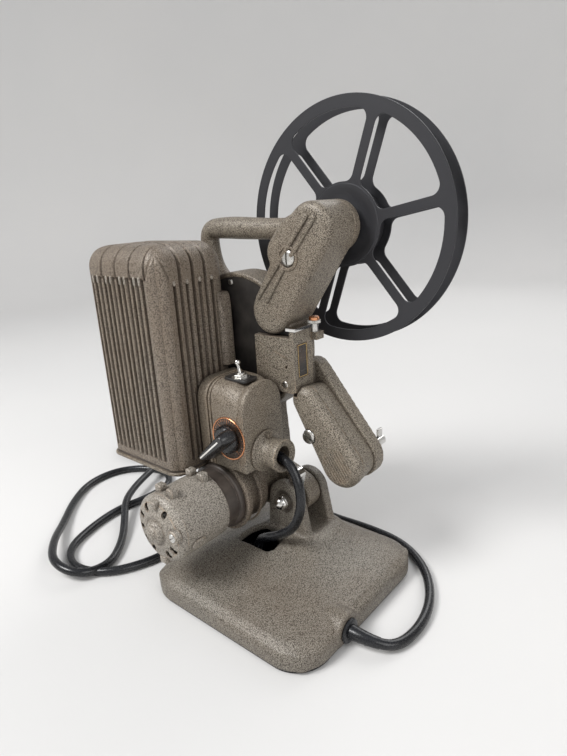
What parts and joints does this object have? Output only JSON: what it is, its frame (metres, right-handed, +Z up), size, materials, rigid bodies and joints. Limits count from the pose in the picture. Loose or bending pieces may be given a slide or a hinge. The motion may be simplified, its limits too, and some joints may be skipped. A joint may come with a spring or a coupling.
{
  "type": "movie projector",
  "caption": "Silent 16 mm film projector with a ribbed lamp house, side motor, tilting head, carrying handle, film reel and mains lead.",
  "frame": {"origin": "centre of the base footprint, on the table", "axes": "+X towards the screen, +Y towards the film side, +Z up"},
  "size_m": [0.4909, 0.3148, 0.3739],
  "materials": {
    "hammer_paint": "speckled hammertone stove enamel",
    "black_paint": "satin black enamel",
    "dark_tray": "worn brown-black enamel",
    "reel_paint": "satin charcoal baked enamel",
    "steel": "turned steel, slightly dulled",
    "chrome": "bright plated",
    "iron": "laminated field iron",
    "brass": "machined brass",
    "copper": "copper-coloured plated knob",
    "dial_face": "black dial with a copper rim",
    "rubber": "black rubber, slightly dusty",
    "black_plastic": "moulded phenolic",
    "fibre": "laminated fibre",
    "ceramic": "glazed ceramic and metal",
    "glass": "clear glass",
    "mirror": "silvered glass"
  },
  "bodies": {
    "base": {"base_casting": "hammer_paint", "rubber_pad": "rubber", "cord_gland": "rubber", "mains_cord": "rubber", "cord_coil": "rubber", "mains_plug": "rubber", "plug_pins": "brass", "tilt_bolt": "steel"},
    "clamp": {"clamp_lever": "chrome"},
    "head": {"main_casting": "hammer_paint", "housing_cover": "black_paint", "condenser_lens": "glass", "side_plate": "hammer_paint", "front_plate": "hammer_paint", "gate_cap": "chrome", "upper_arm": "hammer_paint", "arm_back_cover": "hammer_paint", "lower_arm_cover": "hammer_paint", "slotted_screws": "steel", "carry_handle": "hammer_paint", "lamp_tray": "dark_tray", "lamp_socket": "ceramic", "projection_lamp": "glass", "reflector": "mirror", "mirror_box": "black_paint", "beam_mirror": "mirror", "motor_housing": "hammer_paint", "motor_end_cap": "hammer_paint", "motor_flange": "hammer_paint", "motor_stator": "iron", "drive_belt": "rubber", "aperture_plate": "steel", "control_box": "hammer_paint", "control_box_back": "hammer_paint", "dial_plate": "dial_face", "toggle_plate": "black_paint", "cord_socket": "hammer_paint", "inner_lead": "rubber"},
    "lamphouse": {"lamphouse_shell": "hammer_paint"},
    "rotor": {"motor_rotor": "iron", "blower_fan": "steel", "motor_pulley": "steel"},
    "shutter_shaft": {"main_shaft": "steel", "shutter_disc": "black_paint", "main_pulley": "steel"},
    "idler": {"idler_gear": "fibre"},
    "feed_drum": {"feed_sprocket": "steel"},
    "takeup_drum": {"takeup_sprocket": "steel"},
    "claw": {"film_claw": "steel"},
    "gate": {"lens_carrier": "chrome"},
    "lens": {"lens_barrel": "chrome", "lens_glass": "glass"},
    "feed_reel": {"reel_flanges": "reel_paint", "reel_hub": "reel_paint", "feed_spindle": "steel"},
    "lower_spindle": {"takeup_spindle": "steel"},
    "latch": {"takeup_latch": "steel"},
    "speed_control": {"speed_knob": "black_plastic"},
    "motor_switch": {"toggle_lever": "chrome"},
    "framer": {"framing_knob": "copper"}
  },
  "joints": [
    {"name": "head_tilt", "type": "hinge", "parent": "base", "child": "head", "pos_m": [-0.004, 0.028, 0.0675], "axis": [0, -1, 0], "range_deg": [-5, 10]},
    {"name": "clamp_turn", "type": "hinge", "parent": "base", "child": "clamp", "pos_m": [-0.004, 0.019, 0.0675], "axis": [0, 1, 0], "range_deg": [0, 50]},
    {"name": "lamphouse_lift", "type": "slide", "parent": "head", "child": "lamphouse", "axis": [0, 0, 1], "range_m": [0, 0.15]},
    {"name": "motor_spin", "type": "hinge", "parent": "head", "child": "rotor", "pos_m": [-0.0485, -0.05, 0.073], "axis": [0, 1, 0], "continuous": true},
    {"name": "shutter_spin", "type": "hinge", "parent": "head", "child": "shutter_shaft", "pos_m": [-0.0575, 0.038, 0.192], "axis": [0, 1, 0], "continuous": true},
    {"name": "idler_spin", "type": "hinge", "parent": "head", "child": "idler", "pos_m": [-0.0755, 0.044, 0.192], "axis": [0, 1, 0], "continuous": true},
    {"name": "feed_sprocket_spin", "type": "hinge", "parent": "head", "child": "feed_drum", "pos_m": [-0.06287, 0.06, 0.222], "axis": [0, 1, 0], "continuous": true},
    {"name": "takeup_sprocket_spin", "type": "hinge", "parent": "head", "child": "takeup_drum", "pos_m": [-0.06287, 0.06, 0.162], "axis": [0, 1, 0], "continuous": true},
    {"name": "claw_stroke", "type": "slide", "parent": "head", "child": "claw", "axis": [0, 0, 1], "range_m": [0, 0.0076]},
    {"name": "gate_open", "type": "slide", "parent": "head", "child": "gate", "axis": [1, 0, 0], "range_m": [0, 0.006]},
    {"name": "lens_focus", "type": "slide", "parent": "gate", "child": "lens", "axis": [1, 0, 0], "range_m": [-0.0015, 0.003]},
    {"name": "feed_reel_spin", "type": "hinge", "parent": "head", "child": "feed_reel", "pos_m": [0.0245, 0.07, 0.285], "axis": [0, 1, 0], "continuous": true},
    {"name": "takeup_spin", "type": "hinge", "parent": "head", "child": "lower_spindle", "pos_m": [0.0445, 0.06, 0.107], "axis": [0, 1, 0], "continuous": true},
    {"name": "latch_flip", "type": "hinge", "parent": "lower_spindle", "child": "latch", "pos_m": [0.0445, 0.08, 0.107], "axis": [-1, 0, 0], "range_deg": [0, 90]},
    {"name": "speed_turn", "type": "hinge", "parent": "head", "child": "speed_control", "pos_m": [-0.0255, -0.03, 0.132], "axis": [0, 1, 0], "range_deg": [0, 270]},
    {"name": "switch_throw", "type": "hinge", "parent": "head", "child": "motor_switch", "pos_m": [-0.027, -0.007, 0.1755], "axis": [0, 1, 0], "range_deg": [0, 24]},
    {"name": "framer_turn", "type": "hinge", "parent": "head", "child": "framer", "pos_m": [0.0084, 0.043, 0.21], "axis": [0, 0, 1], "range_deg": [-90, 90]}
  ],
  "couplings": [
    {"joint": "shutter_spin", "follows": "motor_spin", "ratio": 0.54774},
    {"joint": "idler_spin", "follows": "motor_spin", "ratio": -0.13693},
    {"joint": "feed_sprocket_spin", "follows": "motor_spin", "ratio": 0.068467},
    {"joint": "takeup_sprocket_spin", "follows": "motor_spin", "ratio": 0.068467}
  ]
}
